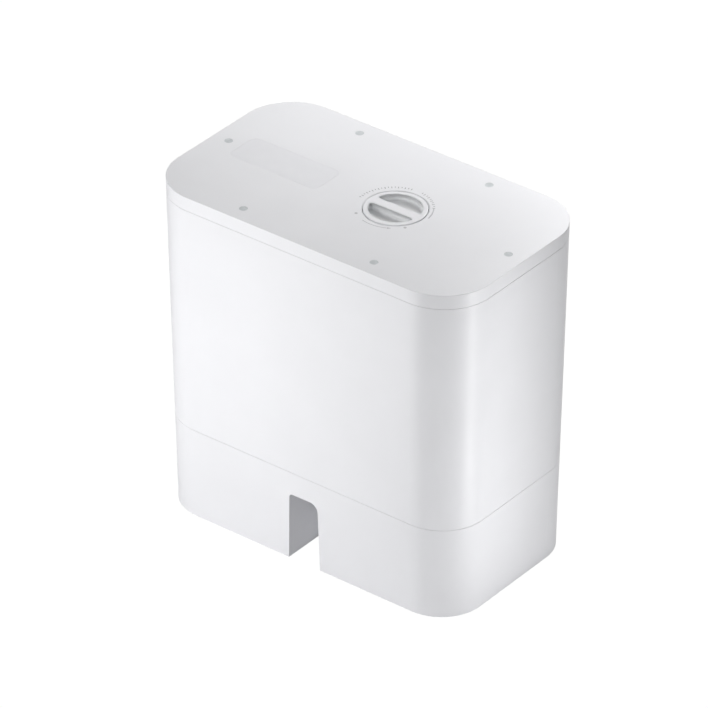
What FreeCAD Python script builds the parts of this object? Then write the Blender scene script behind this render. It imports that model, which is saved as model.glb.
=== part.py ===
import FreeCAD, Part
import math
import os
from FreeCAD import Vector

os.makedirs("parts", exist_ok=True)

# Countertop waste compactor. Millimetres, +Z up, +X along the long side, origin on the table under the
# centre of the housing. The cord channel is in the rear long side (-Y), the drawer in the front one (+Y).

# Housing
housing_width = 317.7
housing_depth = 182.1
housing_height = 311.0
corner_radius = 45.7
draft_slope = 0.0197
wall = 3.0
foot_proud = 1.5
cover_rim_height = 12.8
base_height = 85.4
seam_gap = 0.35
lap_thickness = 1.6
lap_height = 4.0
lap_root = 6.0
clearance = 0.3
fit = 0.05
screw_play = 0.2
edge_round = 0.35

# Cord channel and inlet
channel_x = 2.1
channel_roof_width = 29.1
channel_mouth_width = 32.5
channel_height = 64.0
channel_left_corner = 3.5
channel_right_corner = 7.5
channel_depth = 40.0
inlet_width = 27.0
inlet_height = 19.6
inlet_depth = 22.0
inlet_rise = 43.5
inlet_wall = 1.6
pin_length = 12.0

# Base
plate_thickness = 2.5
plate_recess = 3.5
column_radius = 5.0
column_inset_x = 54.3
column_inset_y = 16.5
foot_radius = 9.0
foot_stem = 2.5
foot_outward_x = 12.0
foot_inward_y = 18.0
screw_radius = 1.8
head_radius = 3.4
head_height = 2.2
screw_length = 14.0
rib_thickness = 3.0

# Drive deck and gear train
deck_thickness = 2.0
deck_below_seam = 2.9
deck_edge_gap = 0.4
jackshaft_y = 14.0
jackshaft_radius = 4.0
gear_module = 1.25
pinion_teeth = 12
gear_teeth = 60
gear_width = 8.0
tooth_backlash = 0.5
motor_direction = 51.0
motor_radius = 19.0
motor_height = 46.0
motor_shaft = 2.5
motor_screw_reach = 12.0
motor_nose_radius = 7.0
motor_nose = 3.0
motor_bore = 14.0
rotor_end_gap = 0.5
gear_rise = 14.5
gear_window = 6.5
gear_window_reach = 24.0
gear_hub_radius = 9.0
gear_hub_height = 6.0
pinion_overhang = 1.0
pressure_angle = 20.0
bearing_wall = 4.0
bearing_width = 5.0
hub_wall = 2.5
hub_depth = 8.0
thrust_floor = 1.5
pulley_radius = 13.0
pulley_width = 12.0
pulley_flange = 2.5
flange_thickness = 1.0
belt_thickness = 1.5
belt_side_gap = 0.5
low_pulley_rise = 38.5
pulley_step = 14.0
board_thickness = 1.6
board_from_end = 20.0
board_low_y = 20.0
board_high_y = 56.0
post_radius = 3.0
post_height = 4.0
post_hole = 1.5
post_inset = 4.0
supply_from_end = 43.0
supply_length = 60.0
supply_low_y = -60.0
supply_high_y = -24.0
supply_height = 28.0
supply_post_inset_x = 5.0
supply_post_inset_y = 6.0
vent_width = 3.0
vent_pitch = 6.0
vent_depth = 2.0
board_gear_gap = 9.0
relay_inset_x = 13.0
relay_inset_y = 10.0
relay_half_x = 7.0
relay_half_y = 6.0
relay_height = 14.0
capacitor_radius = 3.6
capacitor_height = 18.0
chip_inset_y = 9.0
chip_half_x = 6.5
chip_half_y = 5.0
chip_height = 3.0
connector_inset_x = 9.5
connector_half_x = 4.0
connector_height = 8.0
row_gap = 0.5

# Press frame
upright_web = 2.0
upright_half_depth = 30.0
upright_flange = 25.0
tab_length = 14.0
screw_inset = 19.0
top_deck_drop = 26.5
thread_radius = 7.0
thread_core = 6.0
thread_pitch = 4.0
journal_radius = 5.0
bush_flange = 3.0
bush_flange_reach = 2.0
thread_fit = 0.08
nut_radius = 9.0
nut_flange_radius = 13.0
nut_flange = 3.0
nut_drop = 13.0
beam_height = 8.0
beam_drop = 11.0
beam_clearance = 2.0
pressed_gap = 7.5
plate_over_bin = 4.0
ram_plate_thickness = 3.0
ram_sheet = 2.0
ram_plate_gap = 3.5
ram_box_inset_x = 10.0
ram_box_inset_y = 12.0
ram_box_corner = 8.0
ram_plate_corner = 10.0
ram_plate_chamfer = 0.8
ram_glide_thickness = 1.5
ram_glide_half_width = 6.0
bolt_inset_x = 9.0
bolt_y = 12.0

# Drawer
bin_lift = 13.0
bin_wall = 2.5
bin_corner = 6.0
bin_from_screws = 18.0
bin_rear_gap = 18.5
glide_thickness = 4.0
glide_height = 8.0
glide_rise = 1.5
rail_sheet = 2.0
window_half_width = 120.6
window_above_bin = 15.0
window_corner = 8.0
pull_half_width = 38.0
pull_height = 28.0
pull_depth = 15.0
pull_below_top = 14.0
pull_wall = 2.0
pull_corner = 5.0
boss_radius = 4.5
boss_inset_x = 22.0
boss_rise = 20.0
boss_drop = 12.0
bin_lip = 1.0

# Lid plate, plugs and sticker
plug_radius = 3.6
plug_length = 6.0
plug_inset_x = 15.85
plug_inset_y = 15.55
plug_pitch_x = 66.5
cover_boss_radius = 6.5
screw_seat_depth = 18.5
label_width = 90.5
label_height = 35.0
label_corner = 6.0
label_thickness = 0.3
label_gap = 0.2
label_from_plug = 58.5
label_y = 0.2

# Odour cap and its cartridge
cap_x = 29.5
cap_radius = 26.4
cap_gap = 0.5
cap_proud = 0.15
bore_lead = 1.0
cap_plate = 2.0
cap_skirt = 13.0
pocket_radius = 22.7
pocket_floor = 6.0
pocket_corner = 2.5
pocket_round = 1.8
pocket_lip = 0.6
lip_below_top = 0.1
cap_bar = 8.0
socket_wall = 2.0
socket_depth = 33.5
socket_flange = 7.0
cup_wall = 1.2
cup_floor = 2.0
seal_section = 0.7
seal_rise = 3.0
basket_wall = 1.5
stem_radius = 3.0
stem_flange = 4.5
basket_gap = 1.7
basket_feet = 2.5
basket_slots = 6
slot_half_width = 1.2
cap_round = 0.6

# Control strip
strip_rise = 37.0
strip_half_width = 45.0
strip_half_height = 11.0
strip_thickness = 3.0
button_radius = 6.5
button_pitch = 20.0
button_proud = 1.0
button_travel = 1.5
button_flange = 1.5
lens_radius = 3.0
strip_post = 9.0
strip_corner = 4.0
button_slack = 0.6
button_guide_wall = 1.8

# Levels from the table upwards
rim_z = foot_proud
top_z = rim_z + housing_height
low_seam_z = rim_z + base_height
top_seam_z = top_z - cover_rim_height
plate_top_z = rim_z + plate_recess + plate_thickness
deck_top_z = low_seam_z - deck_below_seam
deck_low_z = deck_top_z - deck_thickness
bin_low_z = deck_top_z + bin_lift
bin_floor_z = bin_low_z + bin_wall
top_deck_low_z = top_z - top_deck_drop - deck_thickness
top_deck_top_z = top_z - top_deck_drop
beam_top_z = top_deck_low_z - beam_drop
beam_low_z = beam_top_z - beam_height
bin_top_z = (bin_floor_z + pressed_gap + beam_low_z - beam_clearance - plate_over_bin) / 2
stroke = beam_low_z - bin_top_z - beam_clearance
ram_low_z = bin_top_z + plate_over_bin
window_top_z = bin_top_z + window_above_bin
strip_z = window_top_z + strip_rise
cover_low_z = top_z - wall
cap_top_z = top_z + cap_proud
cap_low_z = top_z - cap_skirt
socket_low_z = top_z - socket_depth


def draft_at(z):
    return (top_z - z) * draft_slope


def half_width_at(z):
    return housing_width / 2 - draft_at(z)


def half_depth_at(z):
    return housing_depth / 2 - draft_at(z)


# Places across the housing
deck_inset = wall + clearance + lap_thickness + deck_edge_gap
frame_x = half_width_at(deck_top_z) - deck_inset
screw_x = frame_x - screw_inset
bin_half_x = screw_x - bin_from_screws
bin_half_y = half_depth_at(deck_top_z) - bin_rear_gap
ram_half_x = bin_half_x - bin_wall - ram_plate_gap
ram_half_y = bin_half_y - bin_wall - ram_plate_gap
column_x = half_width_at(deck_top_z) - column_inset_x
column_y = half_depth_at(deck_top_z) - column_inset_y
plug_x = housing_width / 2 - plug_inset_x
plug_y = housing_depth / 2 - plug_inset_y
channel_end_y = -half_depth_at(rim_z) + channel_depth
centre_distance = gear_module * (pinion_teeth + gear_teeth) / 2
motor_x = centre_distance * math.cos(math.radians(motor_direction))
motor_y = jackshaft_y + centre_distance * math.sin(math.radians(motor_direction))
gear_low_z = plate_top_z + gear_rise
low_pulley_z = plate_top_z + low_pulley_rise
high_pulley_z = low_pulley_z + pulley_step
bore_radius = cap_radius + cap_gap
rail_x = bin_half_x + glide_thickness + clearance
tab_x = frame_x - upright_web / 2 - 11.0
tab_y = upright_half_depth + tab_length / 2

column_places = [(sx * column_x, sy * column_y) for sx in (-1, 1) for sy in (-1, 1)]
foot_x = column_x + foot_outward_x
foot_y = column_y - foot_inward_y
foot_places = [(sx * foot_x, sy * foot_y) for sx in (-1, 1) for sy in (-1, 1)]
tab_places = [(sx * tab_x, sy * tab_y) for sx in (-1, 1) for sy in (-1, 1)]
cover_places = [(-plug_x, 0.0), (plug_x, 0.0)]
cover_places += [(sx * plug_pitch_x, sy * plug_y) for sx in (-1, 1) for sy in (-1, 1)]


# Shape helpers

def box(x0, x1, y0, y1, z0, z1):
    return Part.makeBox(x1 - x0, y1 - y0, z1 - z0, Vector(x0, y0, z0))


def block(x, y, half_x, half_y, z0, z1):
    return box(x - half_x, x + half_x, y - half_y, y + half_y, z0, z1)


def rod(x, y, z0, z1, radius):
    return Part.makeCylinder(radius, z1 - z0, Vector(x, y, z0))


def ring(x, y, z0, z1, outer, inner):
    return rod(x, y, z0, z1, outer).cut(rod(x, y, z0, z1, inner))


def rod_y(x, z, y0, y1, radius):
    return Part.makeCylinder(radius, y1 - y0, Vector(x, y0, z), Vector(0, 1, 0))


def join(shapes):
    return shapes[0].multiFuse(shapes[1:]).removeSplitter()


def rods(places, z0, z1, radius):
    return [rod(x, y, z0, z1, radius) for x, y in places]


def rounded_wire(half_x, half_y, radius, z, x=0.0, y=0.0):
    """Rounded rectangle around x, y at height z."""
    corners = [(1, 1, 0), (-1, 1, 90), (-1, -1, 180), (1, -1, 270)]
    arcs = []
    for side_x, side_y, start in corners:
        centre = Vector(x + side_x * (half_x - radius), y + side_y * (half_y - radius), z)
        points = []
        for turn in (start, start + 45, start + 90):
            angle = math.radians(turn)
            points.append(centre + Vector(radius * math.cos(angle), radius * math.sin(angle), 0))
        arcs.append(points)
    edges = []
    for index, points in enumerate(arcs):
        edges.append(Part.Arc(*points).toShape())
        edges.append(Part.LineSegment(points[2], arcs[(index + 1) % 4][0]).toShape())
    return Part.Wire(edges)


def rounded_block(x, y, half_x, half_y, radius, z0, z1):
    face = Part.Face(rounded_wire(half_x, half_y, radius, z0, x, y))
    return face.extrude(Vector(0, 0, z1 - z0))


def housing_slab(z0, z1, inset=0.0):
    """The drafted body of the housing between two heights, set in from the outer face."""
    wires = []
    for z in (z0, z1):
        step = draft_at(z) + inset
        wires.append(rounded_wire(housing_width / 2 - step, housing_depth / 2 - step, corner_radius - step, z))
    return Part.makeLoft(wires, True, True)


def housing_band(z0, z1, outer_inset, inner_inset):
    return housing_slab(z0, z1, outer_inset).cut(housing_slab(z0, z1, inner_inset))


def front_prism(half_x, z0, z1, radius, y0, y1, x=0.0):
    """Block along Y with corners rounded in the face seen from the front."""
    flat = rounded_block(0, 0, half_x, (z1 - z0) / 2, radius, y0, y1)
    flat.rotate(Vector(0, 0, 0), Vector(1, 0, 0), -90)
    flat.translate(Vector(x, 0, (z0 + z1) / 2))
    return flat


def screw(x, y, under_head_z, length, points_up=False):
    """Pan-head screw with a cross recess, its head above the seat or below it."""
    head = rod(x, y, under_head_z, under_head_z + head_height, head_radius)
    recess = [block(x, y, 1.9, 0.45, under_head_z + 1.0, under_head_z + head_height)]
    recess.append(block(x, y, 0.45, 1.9, under_head_z + 1.0, under_head_z + head_height))
    shank = rod(x, y, under_head_z - length, under_head_z, screw_radius)
    body = head.fuse(shank).cut(join(recess)).removeSplitter()
    if points_up:
        body.rotate(Vector(x, y, under_head_z), Vector(1, 0, 0), 180)
    return body


def save(name, solids):
    if not isinstance(solids, list):
        solids = [solids]
    Part.makeCompound(solids).exportStep(os.path.join("parts", name + ".step"))


def lap_rim(z):
    """Lip that stands up inside the shell above a seam."""
    root = housing_band(z - seam_gap / 2 - lap_root, z - seam_gap / 2, wall - 1.0, wall + clearance + lap_thickness)
    lip = housing_band(z - seam_gap / 2, z + lap_height, wall + clearance, wall + clearance + lap_thickness)
    return [root, lip]


# Casing

def channel_solid(grow, y0, y1, z0):
    """Trapezoid of the cord channel, grown sideways and upwards."""
    roof_z = rim_z + channel_height + grow
    slope = (channel_mouth_width - channel_roof_width) / 2 / channel_height
    roof = channel_roof_width / 2 + grow - slope * grow
    foot = channel_mouth_width / 2 + grow + slope * (rim_z - z0)
    points = [(-foot, z0), (foot, z0), (roof, roof_z), (-roof, roof_z)]
    corners = [Vector(channel_x + x, y0, z) for x, z in points]
    solid = Part.Face(Part.makePolygon(corners + corners[:1])).extrude(Vector(0, y1 - y0, 0))
    for side, radius in ((-1, channel_left_corner), (1, channel_right_corner)):
        corner = Vector(channel_x + side * roof, (y0 + y1) / 2, roof_z)
        edges = [edge for edge in solid.Edges if edge.CenterOfMass.distanceToPoint(corner) < 0.01]
        solid = solid.makeFillet(radius + grow, edges)
    return solid


def inlet_box(grow, y0, y1):
    x0 = channel_x - inlet_width / 2 - grow
    return box(x0, x0 + inlet_width + 2 * grow, y0, y1, rim_z + inlet_rise - inlet_height / 2 - grow,
               rim_z + inlet_rise + inlet_height / 2 + grow)


def make_base_housing():
    top = low_seam_z - seam_gap / 2
    shell = [housing_band(rim_z, top, 0, wall)] + lap_rim(low_seam_z)
    inside = housing_slab(rim_z, top, wall / 2)
    for x, y in column_places:
        column = rod(x, y, plate_top_z, deck_low_z, column_radius)
        reach = math.copysign(half_depth_at(top), y)
        rib = box(x - rib_thickness / 2, x + rib_thickness / 2, min(y, reach), max(y, reach),
                  plate_top_z, deck_low_z)
        shell.append(column.fuse(rib).common(inside))
    channel = channel_solid(wall, -housing_depth, channel_end_y + wall, rim_z)
    shell.append(channel.common(inside))
    body = join(shell)
    body = body.cut(channel_solid(0, -housing_depth, channel_end_y, rim_z - 5.0))
    body = body.cut(inlet_box(fit, channel_end_y - 1.0, channel_end_y + wall + 1.0))
    pilots = rods(column_places, plate_top_z, plate_top_z + screw_length, screw_radius + fit)
    pilots += rods(column_places, deck_low_z - screw_length, deck_low_z, screw_radius + fit)
    return body.cut(pilots)


def make_main_casing():
    low = low_seam_z + seam_gap / 2
    top = top_seam_z - seam_gap / 2
    body = join([housing_band(low, top, 0, wall)] + lap_rim(top_seam_z))
    window = front_prism(window_half_width, low - 40.0, window_top_z, window_corner, 0, housing_depth)
    strip = front_prism(strip_half_width + clearance, strip_z - strip_half_height - clearance,
                        strip_z + strip_half_height + clearance, strip_corner + clearance, 0,
                        housing_depth)
    return body.cut([window, strip])


def make_top_cover():
    low = top_seam_z + seam_gap / 2
    block_body = housing_slab(low, top_z)
    rim = [edge for edge in block_body.Edges if edge.BoundBox.ZMin > top_z - 0.01]
    body = block_body.makeFillet(edge_round, rim)
    body = body.cut(housing_slab(low, cover_low_z, wall))
    body = join([body] + rods(cover_places, top_deck_top_z, cover_low_z, cover_boss_radius))
    seat_z = top_z - screw_seat_depth
    holes = rods(cover_places, seat_z, top_z, plug_radius + fit)
    holes += rods(cover_places, top_deck_top_z, seat_z, screw_radius + screw_play)
    holes.append(rod(cap_x, 0, cover_low_z, top_z, bore_radius))
    lead_radius = bore_radius + bore_lead
    holes.append(Part.makeCone(bore_radius, lead_radius, bore_lead, Vector(cap_x, 0, top_z - bore_lead)))
    holes.append(label_block(label_gap, label_thickness))
    return body.cut(holes)


def label_block(grow, thickness):
    return rounded_block(label_from_plug - plug_x, label_y, label_width / 2 + grow, label_height / 2 + grow,
                         label_corner + grow, top_z - thickness, top_z)


def make_screw_plugs():
    return rods(cover_places, top_z - plug_length, top_z - 0.1, plug_radius)


def make_cover_screws():
    seat_z = top_z - screw_seat_depth
    return [screw(x, y, seat_z, seat_z - top_deck_low_z + 5.0) for x, y in cover_places]


# Base

def make_base_plate():
    low = rim_z + plate_recess
    body = housing_slab(low, plate_top_z, wall + clearance)
    body = body.cut(channel_solid(wall + clearance, -housing_depth, channel_end_y + wall + clearance, rim_z))
    cup_outer = jackshaft_radius + bearing_wall + hub_wall
    body = body.fuse(rod(0, jackshaft_y, plate_top_z, plate_top_z + hub_depth, cup_outer))
    posts = rods(board_posts() + supply_posts(), plate_top_z, plate_top_z + post_height, post_radius)
    body = join([body] + posts)
    holes = rods(column_places, low, plate_top_z, screw_radius + screw_play)
    holes += rods(foot_places, low, plate_top_z, foot_stem + fit)
    holes.append(rod(0, jackshaft_y, plate_top_z + thrust_floor, plate_top_z + hub_depth,
                     jackshaft_radius + bearing_wall + fit))
    return body.cut(holes)


def make_rubber_feet():
    feet = []
    for x, y in foot_places:
        disc = rod(x, y, 0, rim_z + plate_recess, foot_radius)
        disc = disc.makeFillet(1.0, [edge for edge in disc.Edges if edge.BoundBox.ZMax < 0.01])
        feet.append(disc.fuse(rod(x, y, rim_z + plate_recess, plate_top_z + 1.0, foot_stem)))
    return feet


def make_base_screws():
    low = rim_z + plate_recess
    return [screw(x, y, low, screw_length, points_up=True) for x, y in column_places]


def make_power_inlet():
    back_y = channel_end_y + inlet_depth
    body = inlet_box(0, channel_end_y, back_y)
    cavity = inlet_box(-inlet_wall, channel_end_y, back_y - 4.0)
    return body.cut(cavity).cut(join(make_inlet_pins()))


def make_inlet_pins():
    back_y = channel_end_y + inlet_depth
    z = rim_z + inlet_rise
    places = [(-7.0, 0.5), (0.0, 4.0), (7.0, 0.5)]
    return [box(channel_x + x - 1.0, channel_x + x + 1.0, back_y - 4.0 - pin_length, back_y + 4.0,
                z + rise - 2.0, z + rise + 2.0) for x, rise in places]


def board_outline():
    left = -half_width_at(rim_z) + board_from_end
    right = -gear_module * (gear_teeth / 2 + 1.0) - board_gear_gap
    return left, right, board_low_y, board_high_y


def board_posts():
    x0, x1, y0, y1 = board_outline()
    return [(x, y) for x in (x0 + post_inset, x1 - post_inset) for y in (y0 + post_inset, y1 - post_inset)]


def supply_outline():
    left = -half_width_at(rim_z) + supply_from_end
    return left, left + supply_length, supply_low_y, supply_high_y


def supply_posts():
    x0, x1, y0, y1 = supply_outline()
    xs = (x0 + supply_post_inset_x, x1 - supply_post_inset_x)
    return [(x, y) for x in xs for y in (y0 + supply_post_inset_y, y1 - supply_post_inset_y)]


def make_control_board():
    x0, x1, y0, y1 = board_outline()
    z = plate_top_z + post_height
    board = box(x0, x1, y0, y1, z, z + board_thickness)
    return board.cut(rods(board_posts(), z, z + board_thickness, post_hole))


def make_board_components():
    """Two relays, three capacitors, a controller chip and a connector, spread between the board's ends."""
    x0, x1, y0, y1 = board_outline()
    z = plate_top_z + post_height + board_thickness
    front_row = y0 + relay_inset_y
    rear_row = y1 - chip_inset_y
    relay_x = x0 + relay_inset_x
    connector_x = x1 - connector_inset_x
    first_x = relay_x + relay_half_x + row_gap + capacitor_radius
    last_x = connector_x - connector_half_x - row_gap - capacitor_radius
    parts = [block(relay_x, y, relay_half_x, relay_half_y, z, z + relay_height) for y in (front_row, rear_row)]
    capacitor_places = [(x, front_row) for x in (first_x, (first_x + last_x) / 2, last_x)]
    parts += rods(capacitor_places, z, z + capacitor_height, capacitor_radius)
    parts.append(block((relay_x + connector_x) / 2, rear_row, chip_half_x, chip_half_y, z, z + chip_height))
    parts.append(block(connector_x, rear_row, connector_half_x, chip_half_y, z, z + connector_height))
    return parts


def make_power_supply():
    x0, x1, y0, y1 = supply_outline()
    z = plate_top_z + post_height
    top = z + supply_height
    body = box(x0, x1, y0, y1, z, top)
    first = x0 + 2 * supply_post_inset_x
    count = int((x1 - supply_post_inset_x - first) / vent_pitch)
    vents = [box(first + vent_pitch * step, first + vent_pitch * step + vent_width, y0 + supply_post_inset_y,
                 y1 - supply_post_inset_y, top - vent_depth, top) for step in range(count)]
    return body.cut(vents)


# Drive

def make_drive_deck():
    body = housing_slab(deck_low_z, deck_top_z, deck_inset)
    hub = ring(0, jackshaft_y, deck_low_z - hub_depth, deck_low_z, jackshaft_radius + bearing_wall + hub_wall,
               jackshaft_radius + bearing_wall + fit)
    body = join([body, hub])
    holes = rods(column_places, deck_low_z, deck_top_z, screw_radius + screw_play)
    holes += rods([(-screw_x, 0), (screw_x, 0)], deck_low_z, deck_top_z, journal_radius + bearing_wall + fit)
    holes += rods(motor_screw_places(), deck_low_z, deck_top_z, screw_radius + screw_play)
    holes += rods(tab_places, deck_low_z, deck_top_z, screw_radius + fit)
    return body.cut(holes)


def motor_screw_places():
    return [(motor_x - motor_screw_reach, motor_y), (motor_x + motor_screw_reach, motor_y)]


def make_drive_motor():
    low = deck_low_z - motor_height
    can = rod(motor_x, motor_y, low, deck_low_z, motor_radius)
    can = can.makeFillet(2.0, [edge for edge in can.Edges if edge.BoundBox.ZMax < low + 0.01])
    nose = rod(motor_x, motor_y, low - motor_nose, low, motor_nose_radius)
    body = can.fuse(nose)
    grooves = [ring(motor_x, motor_y, low + rise, low + rise + 1.5, motor_radius + 1.0, motor_radius - 0.8)
               for rise in (8.0, 34.0)]
    bores = rods(motor_screw_places(), deck_low_z - 8.0, deck_low_z, screw_radius + fit)
    bores.append(rod(motor_x, motor_y, low - motor_nose, low + motor_bore, motor_shaft + fit))
    return body.cut(grooves + bores)


def make_motor_screws():
    return [screw(x, y, deck_top_z, deck_thickness + 6.0) for x, y in motor_screw_places()]


def gear_blank(teeth, phase_degrees, z0, z1):
    """Spur gear with straight-flanked teeth, one tooth centred on the phase angle."""
    pitch_radius = gear_module * teeth / 2
    tip = pitch_radius + gear_module
    root = pitch_radius - 1.35 * gear_module
    slope = math.tan(math.radians(pressure_angle))
    half_pitch_width = math.pi * gear_module / 4 - tooth_backlash / 2
    levels = []
    for radius in (root, tip):
        half_width = half_pitch_width - (radius - pitch_radius) * slope
        levels.append((radius, math.asin(half_width / radius)))
    points = []
    for tooth in range(teeth):
        centre = math.radians(phase_degrees) + 2 * math.pi * tooth / teeth
        for radius, half in (levels[0], levels[1]):
            points.append((radius, centre - half))
        for radius, half in (levels[1], levels[0]):
            points.append((radius, centre + half))
    corners = [Vector(radius * math.cos(angle), radius * math.sin(angle), z0) for radius, angle in points]
    return Part.Face(Part.makePolygon(corners + corners[:1])).extrude(Vector(0, 0, z1 - z0))


def make_reduction_gear():
    gear = gear_blank(gear_teeth, motor_direction, gear_low_z, gear_low_z + gear_width)
    gear.translate(Vector(0, jackshaft_y, 0))
    windows = []
    for step in range(6):
        angle = math.radians(60.0 * step)
        x = gear_window_reach * math.cos(angle)
        y = jackshaft_y + gear_window_reach * math.sin(angle)
        windows.append(rod(x, y, gear_low_z, gear_low_z + gear_width, gear_window))
    hub_top = gear_low_z + gear_width + gear_hub_height
    hub = rod(0, jackshaft_y, gear_low_z + gear_width, hub_top, gear_hub_radius)
    bore = rod(0, jackshaft_y, gear_low_z, hub_top, jackshaft_radius + fit)
    return gear.cut(windows).fuse(hub).cut(bore)


def make_motor_pinion():
    phase = motor_direction + 180.0 + 180.0 / pinion_teeth
    low = gear_low_z - pinion_overhang
    gear = gear_blank(pinion_teeth, phase, low, gear_low_z + gear_width + pinion_overhang)
    gear.translate(Vector(motor_x, motor_y, 0))
    high = deck_low_z - motor_height + motor_bore - rotor_end_gap
    shaft = rod(motor_x, motor_y, low, high, motor_shaft)
    return gear.fuse(shaft).removeSplitter()


def make_jackshaft():
    return rod(0, jackshaft_y, plate_top_z + thrust_floor + clearance, deck_low_z - 1.0, jackshaft_radius)


def make_jackshaft_bearings():
    outer = jackshaft_radius + bearing_wall
    inner = jackshaft_radius + fit
    low = plate_top_z + thrust_floor
    high = deck_low_z - bearing_width
    return [ring(0, jackshaft_y, low, low + bearing_width, outer, inner),
            ring(0, jackshaft_y, high, high + bearing_width, outer, inner)]


def pulley(x, y, z, zones, bore):
    """Toothed belt pulley with a flange below, between and above its belt zones."""
    top = z + zones * pulley_step - 1.0
    body = [rod(x, y, z - flange_thickness, top, pulley_radius)]
    for level in range(zones + 1):
        low = z - flange_thickness + level * (pulley_width + flange_thickness)
        if zones == 2 and level > 0:
            low = z - flange_thickness + level * pulley_step - (0.0 if level == 1 else 1.0)
        body.append(rod(x, y, low, low + flange_thickness, pulley_radius + pulley_flange))
    return join(body).cut(rod(x, y, z - 2.0, top + 2.0, bore + fit))


def make_drive_pulley():
    return pulley(0, jackshaft_y, low_pulley_z, 2, jackshaft_radius)


def make_belt(side):
    z = low_pulley_z if side > 0 else high_pulley_z
    inner = pulley_radius + clearance
    reach = math.hypot(screw_x, jackshaft_y)
    angle = math.degrees(math.atan2(-jackshaft_y, side * screw_x))
    low = z + belt_side_gap
    high = z + pulley_width - belt_side_gap
    loops = []
    for radius in (inner + belt_thickness, inner):
        solid = join([rod(0, 0, low, high, radius), rod(reach, 0, low, high, radius),
                      box(0, reach, -radius, radius, low, high)])
        loops.append(solid)
    belt = loops[0].cut(loops[1])
    belt.rotate(Vector(0, 0, 0), Vector(0, 0, 1), angle)
    belt.translate(Vector(0, jackshaft_y, 0))
    return belt


# Press frame

def upright(side):
    """Channel-section post, open towards the ram, with foot and head tabs bent outwards."""
    low = deck_top_z
    high = top_deck_low_z
    outer = frame_x
    inner = frame_x - upright_flange
    pieces = [box(outer - upright_web, outer, -upright_half_depth, upright_half_depth, low, high)]
    for turn in (-1, 1):
        flange_y = sorted((turn * upright_half_depth, turn * (upright_half_depth - upright_web)))
        pieces.append(box(inner, outer, flange_y[0], flange_y[1], low, high))
        tab = sorted((turn * (upright_half_depth - upright_web), turn * (upright_half_depth + tab_length)))
        for z in (low, high - upright_web):
            pieces.append(box(inner + 2.0, outer - 3.0, tab[0], tab[1], z, z + upright_web))
    body = join(pieces)
    holes = []
    for turn in (-1, 1):
        holes.append(rod(tab_x, turn * tab_y, low, low + upright_web, screw_radius + screw_play))
        holes.append(rod(tab_x, turn * tab_y, high - upright_web, high, screw_radius + fit))
    if side < 0:
        for z in switch_levels():
            holes.append(rod_y(screw_x, z, -upright_half_depth - 1.0, upright_half_depth + 1.0, 1.8))
    body = body.cut(holes)
    if side < 0:
        body = body.mirror(Vector(0, 0, 0), Vector(1, 0, 0))
    return body


def make_top_deck():
    body = housing_slab(top_deck_low_z, top_deck_top_z, deck_inset)
    holes = [rod(cap_x, 0, top_deck_low_z, top_deck_top_z, bore_radius + socket_wall + clearance)]
    holes += rods([(-screw_x, 0), (screw_x, 0)], top_deck_low_z, top_deck_top_z, journal_radius + bearing_wall + fit)
    holes += rods(tab_places, top_deck_low_z, top_deck_top_z, screw_radius + screw_play)
    holes += rods(cover_places, top_deck_low_z, top_deck_top_z, screw_radius + fit)
    return body.cut(holes)


def make_frame_screws():
    screws = [screw(x, y, deck_top_z + upright_web, upright_web + deck_thickness + 2.0) for x, y in tab_places]
    screws += [screw(x, y, top_deck_top_z, upright_web + deck_thickness + 2.0) for x, y in tab_places]
    return screws


def flanged_bush(x, seat_z, direction):
    """Bearing bush whose flange lies on the screw's side of its deck."""
    outer = journal_radius + bearing_wall
    flange_low = min(seat_z, seat_z + direction * bush_flange)
    body_far = seat_z - direction * deck_thickness
    body = rod(x, 0, min(seat_z, body_far), max(seat_z, body_far), outer)
    flange = rod(x, 0, flange_low, flange_low + bush_flange, outer + bush_flange_reach)
    bore = rod(x, 0, min(seat_z, body_far) - 4.0, max(seat_z, body_far) + 4.0, journal_radius + fit)
    return join([body, flange]).cut(bore)


def make_lower_bearings():
    return [flanged_bush(side * screw_x, deck_top_z, 1) for side in (-1, 1)]


def make_upper_bearings():
    return [flanged_bush(side * screw_x, top_deck_low_z, -1) for side in (-1, 1)]


def make_lead_screw(side):
    """Power screw with a journal in each bearing and a tail for its pulley."""
    x = side * screw_x
    pulley_z = low_pulley_z if side > 0 else high_pulley_z
    thread_low = deck_top_z + bush_flange + clearance
    thread_high = top_deck_low_z - bush_flange - clearance
    low = pulley_z - 2.0
    high = top_deck_top_z + 1.0
    profile = [(0.0, low), (journal_radius, low), (journal_radius, thread_low)]
    turns = int((thread_high - thread_low) / thread_pitch)
    for turn in range(turns):
        z = thread_low + turn * thread_pitch
        profile.append((thread_core, z))
        profile.append((thread_radius, z + 0.3 * thread_pitch))
        profile.append((thread_radius, z + 0.6 * thread_pitch))
        profile.append((thread_core, z + 0.9 * thread_pitch))
    profile += [(thread_core, thread_high), (journal_radius, thread_high), (journal_radius, high), (0.0, high)]
    corners = [Vector(x + radius, 0, z) for radius, z in profile]
    face = Part.Face(Part.makePolygon(corners + corners[:1]))
    return face.revolve(Vector(x, 0, 0), Vector(0, 0, 1), 360)


# Ram

def make_ram_crossbeam():
    half_y = upright_half_depth - upright_web - clearance - ram_glide_thickness
    body = block(0, 0, screw_x + nut_flange_radius, half_y, beam_low_z, beam_top_z)
    lightening = [block(side * 50.0, 0, 30.0, half_y - 8.0, beam_low_z + 2.0, beam_top_z) for side in (-1, 1)]
    bores = rods([(-screw_x, 0), (screw_x, 0)], beam_low_z, beam_top_z, nut_radius + fit)
    bores += rods(beam_bolt_places(), beam_low_z, beam_top_z, screw_radius + screw_play)
    return body.cut(lightening + bores)


def beam_bolt_places():
    x = ram_half_x - ram_box_inset_x - bolt_inset_x
    return [(sx * x, sy * bolt_y) for sx in (-1, 1) for sy in (-1, 1)]


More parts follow.
